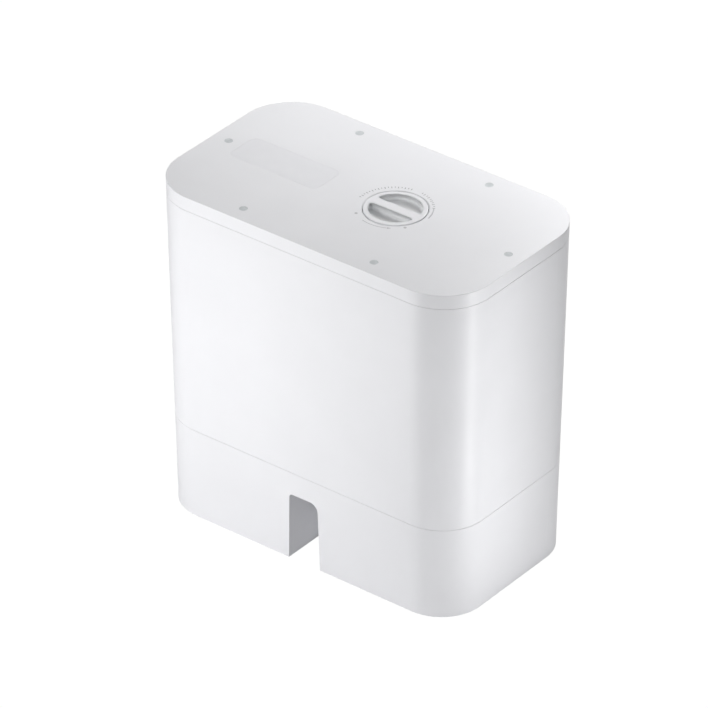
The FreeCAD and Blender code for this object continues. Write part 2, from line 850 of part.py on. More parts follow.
def make_ram_nuts():
    nuts = []
    for side in (-1, 1):
        x = side * screw_x
        body = rod(x, 0, beam_low_z - nut_drop, beam_top_z, nut_radius)
        flange = rod(x, 0, beam_top_z, beam_top_z + nut_flange, nut_flange_radius)
        bore = rod(x, 0, beam_low_z - nut_drop, beam_top_z + nut_flange, thread_radius + thread_fit)
        nuts.append(join([body, flange]).cut(bore))
    return nuts


def make_ram_glides():
    inner = upright_half_depth - upright_web - clearance - ram_glide_thickness
    outer = upright_half_depth - upright_web - clearance
    glides = []
    for side in (-1, 1):
        for turn in (-1, 1):
            ys = sorted((turn * inner, turn * outer))
            glides.append(box(side * screw_x - ram_glide_half_width, side * screw_x + ram_glide_half_width,
                              ys[0], ys[1], beam_low_z, beam_top_z))
    return glides


def make_ram_box():
    half_x = ram_half_x - ram_box_inset_x
    half_y = ram_half_y - ram_box_inset_y
    low = ram_low_z + ram_plate_thickness
    outer = rounded_block(0, 0, half_x, half_y, ram_box_corner, low, beam_low_z)
    inner = rounded_block(0, 0, half_x - ram_sheet, half_y - ram_sheet, ram_box_corner - ram_sheet, low,
                          beam_low_z - ram_sheet)
    body = outer.cut(inner)
    return body.cut(rods(beam_bolt_places(), beam_low_z - ram_sheet, beam_low_z, screw_radius + fit))


def make_ram_plate():
    high = ram_low_z + ram_plate_thickness
    plate = rounded_block(0, 0, ram_half_x, ram_half_y, ram_plate_corner, ram_low_z, high)
    low_edges = [edge for edge in plate.Edges if edge.BoundBox.ZMax < ram_low_z + 0.01]
    return plate.makeChamfer(ram_plate_chamfer, low_edges)


def make_ram_bolts():
    return [screw(x, y, beam_top_z, beam_height + ram_sheet + 2.0) for x, y in beam_bolt_places()]


# Drawer

def make_waste_bin():
    outer = rounded_block(0, 0, bin_half_x, bin_half_y, bin_corner, bin_low_z, bin_top_z)
    inner = rounded_block(0, 0, bin_half_x - bin_wall, bin_half_y - bin_wall, bin_corner - bin_wall,
                          bin_floor_z, bin_top_z)
    body = outer.cut(inner)
    lip = [edge for edge in body.Edges if edge.BoundBox.ZMin > bin_top_z - 0.01]
    body = body.makeFillet(bin_lip, lip)
    back = bin_half_y - 5.0
    front = bin_half_y + 1.0
    return body.cut([rod_y(x, z, back, front, screw_radius + screw_play) for x, z in drawer_bolts()])


def drawer_bolts():
    x = bin_half_x - boss_inset_x
    return [(sx * x, z) for sx in (-1, 1) for z in (bin_low_z + boss_rise, bin_top_z - boss_drop)]


def make_drawer_front():
    low = low_seam_z + seam_gap / 2
    top = window_top_z - seam_gap
    panel = housing_band(low, top + 5.0, 0, wall)
    prism = front_prism(window_half_width - seam_gap, low - 40.0, top, window_corner - seam_gap, 0, housing_depth)
    body = panel.common(prism)
    solid_inside = housing_slab(low, top, wall / 2)
    bosses = [rod_y(x, z, bin_half_y, housing_depth, boss_radius) for x, z in drawer_bolts()]
    body = join([body] + [boss.common(solid_inside) for boss in bosses])
    holes = [rod_y(x, z, bin_half_y, bin_half_y + 10.0, screw_radius + fit) for x, z in drawer_bolts()]
    holes.append(pull_prism(fit))
    return body.cut(holes)


def pull_prism(grow, depth=0.0):
    top = window_top_z - pull_below_top
    far = half_depth_at(top) + 5.0
    near = half_depth_at(top) - pull_depth - pull_wall if depth == 0.0 else depth
    return front_prism(pull_half_width + pull_wall + grow, top - pull_height - 2 * pull_wall - grow, top + grow,
                       pull_corner + grow, near, far)


def make_drawer_pull():
    top = window_top_z - pull_below_top
    low = top - pull_height - 2 * pull_wall
    near = half_depth_at(top) - pull_depth
    outer = pull_prism(0.0).common(housing_slab(low - 1.0, top + 1.0))
    pocket = front_prism(pull_half_width, low + pull_wall, top - pull_wall, pull_corner - 1.0, near, housing_depth)
    return outer.cut(pocket)


def make_drawer_glides():
    glides = []
    z = bin_low_z + glide_rise
    for side in (-1, 1):
        xs = sorted((side * bin_half_x, side * (bin_half_x + glide_thickness)))
        glides.append(box(xs[0], xs[1], bin_corner - bin_half_y, bin_half_y - bin_corner, z, z + glide_height))
    return glides


def make_drawer_screws():
    screws = []
    for x, z in drawer_bolts():
        body = screw(0, 0, 0, bin_wall + 8.0)
        body.rotate(Vector(0, 0, 0), Vector(1, 0, 0), 90)
        body.translate(Vector(x, bin_half_y - bin_wall, z))
        screws.append(body)
    return screws


def make_drawer_rails():
    """Rail each side of the bin: a foot on the deck and a slot that holds the glide."""
    low = bin_low_z + glide_rise - clearance
    high = low + glide_height + 2 * clearance
    inner = bin_half_x + 0.5
    rails = []
    for side in (-1, 1):
        spans = [(rail_x, rail_x + rail_sheet, deck_top_z, high + rail_sheet)]
        spans.append((inner - 2.0, rail_x + rail_sheet, deck_top_z, deck_top_z + rail_sheet))
        spans.append((inner, rail_x + rail_sheet, low - rail_sheet, low))
        spans.append((inner, rail_x + rail_sheet, high, high + rail_sheet))
        pieces = []
        for x0, x1, z0, z1 in spans:
            xs = sorted((side * x0, side * x1))
            pieces.append(box(xs[0], xs[1], -bin_half_y, bin_half_y - 2.0, z0, z1))
        rails.append(join(pieces))
    return rails


# Odour cap

def half_moons(radius, bar, z0, z1):
    """The two finger pockets either side of the bar."""
    disc = rod(cap_x, 0, z0, z1, radius)
    return disc.cut(block(cap_x, 0, radius + 1.0, bar, z0 - 1.0, z1 + 1.0))


def rounded_moons(z0, z1, inset):
    """The two half-moon pockets, smaller all round by the inset."""
    bar = cap_bar / 2 + inset
    moons = half_moons(pocket_radius - inset, bar, z0, z1)
    uprights = [edge for edge in moons.Edges if edge.BoundBox.ZLength > z1 - z0 - 0.01 and
                edge.Curve.TypeId == "Part::GeomLine" and abs(abs(edge.CenterOfMass.y) - bar) < 0.01]
    return moons.makeFillet(pocket_corner - inset, uprights)


def make_odour_cap():
    outer = rod(cap_x, 0, cap_low_z, cap_top_z, cap_radius)
    top_edges = [edge for edge in outer.Edges if edge.BoundBox.ZMin > cap_top_z - 0.01]
    outer = outer.makeFillet(cap_round, top_edges)
    hollow = rod(cap_x, 0, cap_low_z, top_z - cap_plate, pocket_radius + cup_wall + fit)
    groove_z = cap_low_z + seal_rise
    groove = ring(cap_x, 0, groove_z - 0.9, groove_z + 0.9, cap_radius + 1.0, cap_radius - 1.1)
    return outer.cut([hollow, groove, rounded_moons(top_z - cap_plate, cap_top_z, 0.0)])


def make_cap_cup():
    low = top_z - pocket_floor - cup_floor
    body = rod(cap_x, 0, low, top_z - cap_plate, pocket_radius + cup_wall)
    lip_top = cap_top_z - lip_below_top
    body = join([body, rounded_moons(top_z - cap_plate, lip_top, fit)])
    moons = rounded_moons(top_z - pocket_floor, lip_top, pocket_lip)
    floor_edges = [edge for edge in moons.Edges if edge.BoundBox.ZMax < top_z - pocket_floor + 0.01]
    body = body.cut(moons.makeFillet(pocket_round, floor_edges))
    stem = rod(cap_x, 0, socket_low_z + 2.7, low, stem_radius)
    end = rod(cap_x, 0, socket_low_z + socket_wall + 0.7, socket_low_z + socket_wall + 2.2, stem_flange)
    return join([body, stem, end])


def make_cap_seal():
    circle = Part.Circle(Vector(cap_x + cap_radius - 0.3, 0, cap_low_z + seal_rise), Vector(0, 1, 0), seal_section)
    face = Part.Face(Part.Wire([circle.toShape()]))
    return face.revolve(Vector(cap_x, 0, 0), Vector(0, 0, 1), 360)


def make_odour_socket():
    body = rod(cap_x, 0, socket_low_z, cover_low_z, bore_radius + socket_wall)
    flange = rod(cap_x, 0, top_deck_top_z, top_deck_top_z + 2.0, bore_radius + socket_wall + socket_flange)
    hollow = rod(cap_x, 0, socket_low_z + socket_wall, cover_low_z, bore_radius)
    return join([body, flange]).cut(hollow)


def make_odour_basket():
    low = socket_low_z + socket_wall + basket_feet
    hub_top = top_z - pocket_floor - cup_floor - clearance
    high = cap_low_z - clearance
    outer = bore_radius - basket_gap
    body = rod(cap_x, 0, low, high, outer)
    body = body.cut(rod(cap_x, 0, low + basket_wall, high, outer - basket_wall))
    hub = rod(cap_x, 0, low, hub_top, stem_radius + 2.0)
    feet = ring(cap_x, 0, socket_low_z + socket_wall + clearance, low, outer, outer - 3.0)
    body = join([body, hub, feet])
    slots = []
    for step in range(basket_slots):
        slot = box(cap_x, cap_x + outer + 1.0, -slot_half_width, slot_half_width, low + 4.0, high - 3.0)
        slot = slot.cut(rod(cap_x, 0, low, high, outer - basket_wall - 1.0))
        slot.rotate(Vector(cap_x, 0, 0), Vector(0, 0, 1), 360.0 / basket_slots * step)
        slots.append(slot)
    slots.append(rod(cap_x, 0, low, hub_top, stem_radius + fit))
    return body.cut(slots)


def make_odour_cartridge():
    low = socket_low_z + socket_wall + basket_feet + basket_wall
    high = cap_low_z - 1.0
    return ring(cap_x, 0, low, high, bore_radius - basket_gap - basket_wall - 0.2, stem_radius + 2.2)


# Control strip, in the front wall above the drawer

def strip_face_y():
    return half_depth_at(strip_z)


def make_control_bezel():
    z0 = strip_z - strip_half_height
    z1 = strip_z + strip_half_height
    prism = front_prism(strip_half_width, z0, z1, strip_corner, 0, housing_depth)
    body = housing_band(z0 - 2.0, z1 + 2.0, 0, strip_thickness).common(prism)
    inner = strip_face_y() - strip_thickness
    x = strip_half_width - 6.0
    posts = [rod_y(sx * x, strip_z, inner - strip_post, inner + 1.0, 2.5) for sx in (-1, 1)]
    body = join([body] + posts)
    holes = [rod_y(sx * button_pitch, strip_z, inner - 1.0, housing_depth, button_radius + clearance)
             for sx in (-1, 1)]
    holes.append(rod_y(0, strip_z, inner - 1.0, housing_depth, lens_radius + fit))
    return body.cut(holes)


def make_button(side):
    inner = strip_face_y() - strip_thickness
    back = inner - button_slack - button_flange
    body = rod_y(side * button_pitch, strip_z, back, strip_face_y() + button_proud, button_radius)
    body = body.makeFillet(0.6, [edge for edge in body.Edges
                                 if edge.BoundBox.YMin > strip_face_y() + button_proud - 0.01])
    flange = rod_y(side * button_pitch, strip_z, back, inner - button_slack, button_radius + button_guide_wall)
    return join([body, flange])


def make_status_lens():
    face = strip_face_y()
    body = rod_y(0, strip_z, face - strip_thickness - 4.0, face, lens_radius)
    return body.makeFillet(0.5, [edge for edge in body.Edges if edge.BoundBox.YMin > face - 0.01])


def make_switch_board():
    y = strip_face_y() - strip_thickness - strip_post
    x = strip_half_width - 2.0
    board = box(-x, x, y - board_thickness, y, strip_z - 9.0, strip_z + 9.0)
    switches = []
    plunger_y = strip_face_y() - strip_thickness - button_slack - button_flange - button_travel - clearance
    for side in (-1, 1):
        x = side * button_pitch
        switches.append(box(x - 3.0, x + 3.0, y, y + 3.0, strip_z - 3.0, strip_z + 3.0))
        switches.append(rod_y(x, strip_z, y + 2.0, plunger_y, 1.8))
    return join([board] + switches)


def make_drawer_switch():
    """Micro switch on the drive deck behind the bin."""
    y = -bin_half_y - 3.0
    body = box(-70.0, -50.0, y - 8.0, y, deck_top_z, deck_top_z + 20.0)
    plunger = rod_y(-60.0, deck_top_z + 17.0, y - 2.0, -bin_half_y - clearance, 1.5)
    return join([body, plunger])


def switch_levels():
    beam_middle = (beam_low_z + beam_top_z) / 2
    return [beam_middle, beam_middle - stroke]


def make_limit_switches():
    switches = []
    for z in switch_levels():
        body = block(-screw_x, upright_half_depth + 3.0, 6.0, 3.0, z - 10.0, z + 10.0)
        plunger = rod_y(-screw_x, z, upright_half_depth - upright_web, upright_half_depth + 1.0, 1.5)
        switches.append(join([body, plunger]))
    return switches


nodes = {
    "base_housing": make_base_housing(),
    "main_casing": make_main_casing(),
    "top_cover": make_top_cover(),
    "screw_plugs": make_screw_plugs(),
    "cover_label": label_block(0.0, label_thickness),
    "odour_cap": make_odour_cap(),
    "cap_cup": make_cap_cup(),
    "cap_seal": make_cap_seal(),
    "odour_socket": make_odour_socket(),
    "odour_basket": make_odour_basket(),
    "odour_cartridge": make_odour_cartridge(),
    "cover_screws": make_cover_screws(),
    "base_plate": make_base_plate(),
    "rubber_feet": make_rubber_feet(),
    "base_screws": make_base_screws(),
    "power_inlet": make_power_inlet(),
    "inlet_pins": make_inlet_pins(),
    "control_board": make_control_board(),
    "board_components": make_board_components(),
    "power_supply": make_power_supply(),
    "drive_deck": make_drive_deck(),
    "deck_screws": [screw(x, y, deck_top_z, deck_thickness + 10.0) for x, y in column_places],
    "drive_motor": make_drive_motor(),
    "motor_screws": make_motor_screws(),
    "motor_pinion": make_motor_pinion(),
    "reduction_gear": make_reduction_gear(),
    "jackshaft": make_jackshaft(),
    "jackshaft_bearings": make_jackshaft_bearings(),
    "drive_pulley": make_drive_pulley(),
    "left_pulley": pulley(-screw_x, 0, high_pulley_z, 1, journal_radius),
    "right_pulley": pulley(screw_x, 0, low_pulley_z, 1, journal_radius),
    "left_belt": make_belt(-1),
    "right_belt": make_belt(1),
    "left_upright": upright(-1),
    "right_upright": upright(1),
    "top_deck": make_top_deck(),
    "frame_screws": make_frame_screws(),
    "lower_bearings": make_lower_bearings(),
    "upper_bearings": make_upper_bearings(),
    "left_lead_screw": make_lead_screw(-1),
    "right_lead_screw": make_lead_screw(1),
    "ram_crossbeam": make_ram_crossbeam(),
    "ram_nuts": make_ram_nuts(),
    "ram_glides": make_ram_glides(),
    "ram_box": make_ram_box(),
    "ram_plate": make_ram_plate(),
    "ram_bolts": make_ram_bolts(),
    "waste_bin": make_waste_bin(),
    "drawer_front": make_drawer_front(),
    "drawer_pull": make_drawer_pull(),
    "drawer_glides": make_drawer_glides(),
    "drawer_screws": make_drawer_screws(),
    "drawer_rails": make_drawer_rails(),
    "control_bezel": make_control_bezel(),
    "start_button": make_button(-1),
    "stop_button": make_button(1),
    "status_lens": make_status_lens(),
    "switch_board": make_switch_board(),
    "drawer_switch": make_drawer_switch(),
    "limit_switches": make_limit_switches(),
}

for node_name, node_solids in nodes.items():
    save(node_name, node_solids)

print(len(nodes), "nodes, ram stroke", round(stroke, 3), "mm")
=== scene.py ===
"""Finish and presentation of the countertop compactor, laid out as an add-on and run as a script."""
import math

import bpy
import bmesh
from bpy.props import FloatProperty, FloatVectorProperty, PointerProperty
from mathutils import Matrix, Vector


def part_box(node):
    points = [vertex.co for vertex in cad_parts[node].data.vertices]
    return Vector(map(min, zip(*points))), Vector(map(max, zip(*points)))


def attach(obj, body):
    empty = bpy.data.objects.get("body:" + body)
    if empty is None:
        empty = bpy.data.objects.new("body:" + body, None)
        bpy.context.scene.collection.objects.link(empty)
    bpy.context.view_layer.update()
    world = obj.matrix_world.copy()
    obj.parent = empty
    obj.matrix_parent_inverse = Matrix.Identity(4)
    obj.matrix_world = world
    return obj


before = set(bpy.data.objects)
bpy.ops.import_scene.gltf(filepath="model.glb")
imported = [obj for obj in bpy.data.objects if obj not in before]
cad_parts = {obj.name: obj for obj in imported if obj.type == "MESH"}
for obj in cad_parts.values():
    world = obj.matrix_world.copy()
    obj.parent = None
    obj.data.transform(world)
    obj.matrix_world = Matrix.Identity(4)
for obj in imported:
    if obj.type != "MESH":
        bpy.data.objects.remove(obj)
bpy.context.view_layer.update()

bl_info = {
    "name": "Countertop Compactor",
    "version": (1, 0, 0),
    "blender": (4, 5, 0),
    "location": "View3D > Sidebar > Compactor",
    "description": "Dresses the compactor's packed parts, prints its lid and sets its studio",
    "category": "Object",
}

SCENE_PREFIX = "compactor_"
WHITE = (1.0, 1.0, 1.0, 1.0)

# Edges sharper than this stay crisp
SHARP_ANGLE = math.radians(28.0)

# Printed signs stand above their surface and reach a little below it, in metres
INK_LIFT = 0.00003
INK_DEPTH = 0.00006

# Button signs, in shares of the button's radius
START_SIGN = ((-0.34, 0.0), (0.22, 0.34), (0.22, -0.34))
STOP_SIGN = ((-0.26, -0.26), (-0.26, 0.26), (0.26, 0.26), (0.26, -0.26))

# Lock print, in degrees around the print's centre
TICK_BANDS = ((101.6, 185.9), (36.8, 82.5))
LOCK_DOTS = (233.4, 323.7)
ARROW_LEAD = 5.0
ARROW_LENGTH = 6.0
ARC_STEP = 3.0

# Arcs of the lock print: start and end in degrees, and width in printed lines
TURN_ARC = (254.3, 298.5, 1.0)
SIDE_ARC = (7.0, 35.8, 1.6)

# Half the arrow's width in printed lines, a short tick's share of a long one, and the corners of a dot
ARROW_SPREAD = 1.6
SHORT_TICK = 0.65
DOT_POINTS = 24

# Satin finish: depth of its grain in metres, and how the cap differs from the shells
SATIN_DEPTH = 0.000006
CAP_BRIGHTER = 1.01
CAP_SMOOTHER = 0.03

# Stage, in metres; the camera's sensor in millimetres
FLOOR_RADIUS = 6.0
FLOOR_SIDES = 96
FAR_CLIP = 50.0
SENSOR_WIDTH = 36.0


def tone(name, description, default):
    """A colour setting."""
    return FloatVectorProperty(name=name, description=description, default=default, subtype="COLOR",
                               min=0.0, max=1.0)


def length(name, description, default):
    """A setting in metres."""
    return FloatProperty(name=name, description=description, default=default, unit="LENGTH", precision=5)


def factor(name, description, default):
    """A setting without a unit."""
    return FloatProperty(name=name, description=description, default=default, subtype="FACTOR")


def turn(name, description, degrees):
    """An angle setting, whose default is given in degrees."""
    return FloatProperty(name=name, description=description, default=math.radians(degrees), subtype="ANGLE")


# Settings

class CasingSettings(bpy.types.PropertyGroup):
    """Finish of the white shells."""
    white: tone("White", "Colour of the moulded shells", (0.860, 0.862, 0.886))
    roughness: factor("Roughness", "Roughness of the satin shells", 0.38)
    spark: length("Spark", "Grain of the spark-eroded mould face", 0.0006)
    grey: tone("Grey", "Colour of the screw plugs", (0.60, 0.625, 0.64))
    pocket: tone("Pocket", "Colour of the cap's finger pockets", (0.940, 0.962, 0.982))
    glow: length("Glow", "How far light travels inside the pockets' plastic", 0.005)
    sticker: tone("Sticker", "Colour of the bare rating sticker", (0.845, 0.847, 0.874))


class PrintSettings(bpy.types.PropertyGroup):
    """Lock scale printed around the cap."""
    ink: tone("Ink", "Colour of the printed ticks", (0.37, 0.37, 0.38))
    pale: tone("Pale ink", "Colour of the arcs, the arrow and the dots", (0.52, 0.52, 0.54))
    radius: length("Radius", "Radius of the printed circle", 0.03176)
    tick: length("Tick", "Length of a tick", 0.0024)
    line: length("Line", "Width of a printed line", 0.0007)
    dot: length("Dot", "Radius of a lock dot", 0.0013)
    offset: length("Offset", "How far the print's centre stands to the left of the cap's", 0.00137)
    step: turn("Step", "Angle from one tick to the next", 5.0)


class DrawerSettings(bpy.types.PropertyGroup):
    """Colours of the pull-out bin."""
    bin: tone("Bin", "Colour of the waste bin", (0.075, 0.078, 0.085))
    pull: tone("Pull", "Colour of the drawer's pull", (0.105, 0.11, 0.12))
    glide: tone("Glides", "Colour of the drawer's and the ram's glides", (0.66, 0.66, 0.63))
    rail: tone("Rails", "Colour of the steel rails", (0.60, 0.61, 0.63))


class ControlSettings(bpy.types.PropertyGroup):
    """Colours of the control strip and its boards."""
    bezel: tone("Bezel", "Colour of the strip around the buttons", (0.105, 0.11, 0.12))
    start: tone("Start button", "Colour of the start button", (0.04, 0.21, 0.09))
    stop: tone("Stop button", "Colour of the stop button", (0.33, 0.33, 0.34))
    sign: tone("Signs", "Colour of the signs on the buttons", (0.78, 0.78, 0.79))
    lens: tone("Lens", "Colour of the status lens", (0.80, 0.86, 0.84))
    lens_cell: tone("Lens cells", "Colour between the lens's cells", (0.62, 0.72, 0.68))
    board: tone("Board", "Colour of the boards' solder mask", (0.03, 0.17, 0.07))
    track: tone("Tracks", "Colour of the mask over the tracks", (0.05, 0.26, 0.10))
    switch: tone("Switches", "Colour of the switches and components", (0.015, 0.015, 0.017))


class BaseSettings(bpy.types.PropertyGroup):
    """Colours of the plates, feet, inlet, supply and screws."""
    plate: tone("Plates", "Colour of the zinc-plated plates", (0.58, 0.60, 0.63))
    rubber: tone("Rubber", "Colour of the feet and the cap's seal", (0.02, 0.02, 0.022))
    inlet: tone("Inlet", "Colour of the power inlet", (0.016, 0.016, 0.018))
    pin: tone("Pins", "Colour of the inlet's brass pins", (0.72, 0.58, 0.30))
    supply: tone("Supply", "Colour of the power supply's case", (0.55, 0.56, 0.58))
    screw: tone("Screws", "Colour of the zinc-plated screws", (0.52, 0.53, 0.56))


class DriveSettings(bpy.types.PropertyGroup):
    """Colours of the motor, gears, shafts, pulleys and belts."""
    motor: tone("Motor", "Colour of the motor's paint", (0.020, 0.020, 0.022))
    motor_worn: tone("Worn paint", "Colour of the motor's rubbed paint", (0.045, 0.045, 0.05))
    pinion: tone("Pinion", "Colour of the steel pinion", (0.42, 0.43, 0.45))
    gear: tone("Gear", "Colour of the nylon gear", (0.62, 0.59, 0.48))
    pulley: tone("Pulleys", "Colour of the alloy pulleys", (0.68, 0.69, 0.71))
    shaft: tone("Shafts", "Colour of the shafts and lead screws", (0.52, 0.53, 0.55))
    bush: tone("Bushes", "Colour of the bronze bushes", (0.50, 0.31, 0.14))
    belt: tone("Belts", "Colour of the toothed belts", (0.022, 0.022, 0.025))


class PressSettings(bpy.types.PropertyGroup):
    """Colours of the press frame and the ram."""
    post: tone("Posts", "Colour of the steel uprights", (0.56, 0.57, 0.60))
    beam: tone("Beam", "Colour of the alloy crossbeam", (0.68, 0.69, 0.71))
    ram: tone("Ram", "Colour of the stainless ram", (0.60, 0.61, 0.62))
    nut: tone("Nuts", "Colour of the brass ram nuts", (0.68, 0.50, 0.22))


class OdourSettings(bpy.types.PropertyGroup):
    """Colours of the odour socket, basket and cartridge."""
    socket: tone("Socket", "Colour of the cup in the top deck", (0.16, 0.16, 0.17))
    basket: tone("Basket", "Colour of the basket under the cap", (0.32, 0.32, 0.33))
    felt: tone("Felt", "Colour of the charcoal felt", (0.03, 0.03, 0.033))
    fibre: tone("Fibres", "Colour of the felt's loose fibres", (0.08, 0.08, 0.085))


class StageSettings(bpy.types.PropertyGroup):
    """Floor, lights and camera."""
    floor: tone("Floor", "Colour of the floor", (0.92, 0.92, 0.92))
    glow: factor("Ground", "Brightness of the white ground behind the compactor", 1.02)
    fill: factor("Fill", "Strength of the even light from all around", 0.10)
    power: factor("Power", "Share of each soft box's own power", 1.0)
    azimuth: turn("Azimuth", "Camera's angle around the compactor", 38.16)
    elevation: turn("Elevation", "Camera's angle above the table", 32.47)
    distance: length("Distance", "Camera's distance from the middle of the housing", 5.469)
    lens: FloatProperty(name="Lens", description="Focal length", default=340.2, subtype="DISTANCE_CAMERA")
    slide: length("Slide", "Camera's offset to its left", 0.01019)
    rise: length("Rise", "Camera's offset upwards", 0.00449)


SETTINGS = {
    "casing": CasingSettings, "print": PrintSettings, "drawer": DrawerSettings, "controls": ControlSettings,
    "base": BaseSettings, "drive": DriveSettings, "press": PressSettings, "odour": OdourSettings,
    "stage": StageSettings,
}


# Materials

class Surface:
    """A Principled material with helpers for its grain, colour drift and gloss drift."""

    def __init__(self, name, colour, roughness, **sockets):
        self.material = bpy.data.materials.new(name)
        self.material.use_nodes = True
        self.tree = self.material.node_tree
        self.shader = self.tree.nodes["Principled BSDF"]
        self.colour = tuple(colour)
        self.set("Base Color", (*colour, 1.0))
        self.set("Roughness", roughness)
        for socket, value in sockets.items():
            self.set(socket.replace("_", " "), value)
        self.place = self.add("ShaderNodeTexCoord").outputs["Object"]
        self.height = None

    def set(self, socket, value):
        self.shader.inputs[socket].default_value = value

    def add(self, kind, **inputs):
        node = self.tree.nodes.new(kind)
        for name, value in inputs.items():
            node.inputs[name.replace("_", " ")].default_value = value
        return node

    def link(self, source, target):
        self.tree.links.new(source, target)

    def stretched(self, scale):
        """The piece's own coordinates, scaled along each axis."""
        mapping = self.add("ShaderNodeMapping", Scale=scale)
        self.link(self.place, mapping.inputs["Vector"])
        return mapping.outputs["Vector"]

    def noise(self, size, detail=2.0, stretch=None):
        """Noise whose features are about that size, in metres."""
        node = self.add("ShaderNodeTexNoise", Scale=1.0 / size, Detail=detail)
        self.link(self.stretched(stretch) if stretch else self.place, node.inputs["Vector"])
        return node.outputs["Fac"]

    def cells(self, size):
        """Distance from the middle of cells of about that size."""
        node = self.add("ShaderNodeTexVoronoi", Scale=1.0 / size)
        self.link(self.place, node.inputs["Vector"])
        return node.outputs["Distance"]

    def rings(self, size, distortion=0.0):
        """Bands that follow each other up a vertical axis."""
        node = self.add("ShaderNodeTexWave", Scale=1.0 / size / math.tau, Distortion=distortion)
        node.bands_direction = "Z"
        self.link(self.place, node.inputs["Vector"])
        return node.outputs["Fac"]

    def drift_colour(self, driver, other, low=0.3, high=0.7):
        """Blend the base colour into another one where the driver is high."""
        ramp = self.add("ShaderNodeValToRGB")
        ramp.color_ramp.elements[0].position = low
        ramp.color_ramp.elements[1].position = high
        ramp.color_ramp.elements[0].color = (*self.colour, 1.0)
        ramp.color_ramp.elements[1].color = (*other, 1.0)
        self.link(driver, ramp.inputs["Fac"])
        self.link(ramp.outputs["Color"], self.shader.inputs["Base Color"])

    def drift_gloss(self, driver, low, high):
        """Let the roughness wander between two values with the driver."""
        spread = self.add("ShaderNodeMapRange", To_Min=low, To_Max=high)
        self.link(driver, spread.inputs["Value"])
        self.link(spread.outputs["Result"], self.shader.inputs["Roughness"])

    def bump(self, driver, depth):
        """Raise the surface by the driver, each call on top of the last."""
        node = self.add("ShaderNodeBump", Strength=1.0, Distance=depth)
        self.link(driver, node.inputs["Height"])
        if self.height is not None:
            self.link(self.height, node.inputs["Normal"])
        self.height = node.outputs["Normal"]
        self.link(self.height, self.shader.inputs["Normal"])


def scaled(colour, share):
    """The colour made lighter or darker, kept within white."""
    return tuple(min(1.0, channel * share) for channel in colour)


def lines_along(axis, share):
    """Scale that draws noise out into lines along one axis."""
    return tuple(share if name == axis else 1.0 for name in "XYZ")


def moulded(name, colour, roughness, spark, depth=0.00002):
    """Moulded plastic: fine spark grain, slow gloss drift and a trace of colour drift."""
    surface = Surface(name, colour, roughness)
    surface.drift_colour(surface.noise(size=0.06, detail=3.0), scaled(colour, 0.975))
    surface.drift_gloss(surface.noise(size=0.025, detail=4.0), low=roughness - 0.04, high=roughness + 0.05)
    surface.bump(surface.noise(size=spark), depth)
    return surface


def brushed(name, colour, roughness, stretch):
    """Sheet or bar metal with fine lines along one axis."""
    surface = Surface(name, colour, roughness, Metallic=1.0)
    lines = surface.noise(size=0.0012, detail=3.0, stretch=stretch)
    surface.drift_colour(surface.noise(size=0.02, detail=4.0), scaled(colour, 0.86))
    surface.drift_gloss(lines, low=roughness - 0.08, high=roughness + 0.10)
    surface.bump(lines, depth=0.00001)
    return surface


def turned(name, colour, roughness, pitch=0.0006):
    """Turned metal with tool rings around a vertical axis."""
    surface = Surface(name, colour, roughness, Metallic=1.0)
    surface.drift_colour(surface.noise(size=0.008, detail=3.0), scaled(colour, 0.8))
    surface.drift_gloss(surface.noise(size=0.003, detail=3.0), low=roughness - 0.06, high=roughness + 0.08)
    surface.bump(surface.rings(pitch, distortion=0.4), depth=0.00001)
    return surface


def soft(name, colour, roughness):
    """Rubber or soft plastic, dusty in its pores."""
    surface = Surface(name, colour, roughness, Specular_IOR_Level=0.3)
    surface.drift_colour(surface.noise(size=0.004, detail=5.0), scaled(colour, 1.25), low=0.45, high=0.75)
    surface.drift_gloss(surface.noise(size=0.002, detail=3.0), low=roughness - 0.05, high=roughness + 0.08)
    surface.bump(surface.noise(size=0.0004, detail=3.0), depth=0.00003)
    return surface


def pocket_grey(settings):
    """Slightly translucent moulded cup that carries the light down its walls."""
    surface = moulded("pocket_grey", settings.pocket, roughness=0.55, spark=0.0005)
    surface.set("Subsurface Weight", 1.0)
    surface.set("Subsurface Radius", (1.0, 1.0, 1.0))
    surface.set("Subsurface Scale", settings.glow)
    return surface


def sticker_film(settings):
    """Smooth film with the faint unevenness of its glue."""
    surface = Surface("sticker_film", settings.sticker, roughness=0.42)
    surface.drift_colour(surface.noise(size=0.012, detail=4.0), scaled(settings.sticker, 0.985))
    surface.drift_gloss(surface.noise(size=0.004, detail=3.0), low=0.40, high=0.48)
    surface.bump(surface.noise(size=0.0015), SATIN_DEPTH)
    return surface


def print_ink(name, colour):
    """Matt ink, a little thinner in its pores."""
    surface = Surface(name, colour, roughness=0.6)
    surface.drift_colour(surface.noise(size=0.0012, detail=4.0), scaled(colour, 1.3), low=0.4, high=0.8)
    surface.drift_gloss(surface.noise(size=0.0008, detail=3.0), low=0.52, high=0.66)
    surface.bump(surface.noise(size=0.0003), depth=0.00001)
    return surface


def circuit_green(settings):
    """Solder mask over tracks that stand slightly proud."""
    surface = Surface("circuit_green", settings.board, roughness=0.32, Coat_Weight=0.3, Coat_Roughness=0.25)
    tracks = surface.add("ShaderNodeTexBrick", Scale=220.0, Mortar_Size=0.08)
    surface.link(surface.place, tracks.inputs["Vector"])
    surface.drift_colour(tracks.outputs["Fac"], settings.track, low=0.2, high=0.6)
    surface.drift_gloss(surface.noise(size=0.003, detail=3.0), low=0.26, high=0.40)
    surface.bump(tracks.outputs["Fac"], depth=0.00003)
    return surface


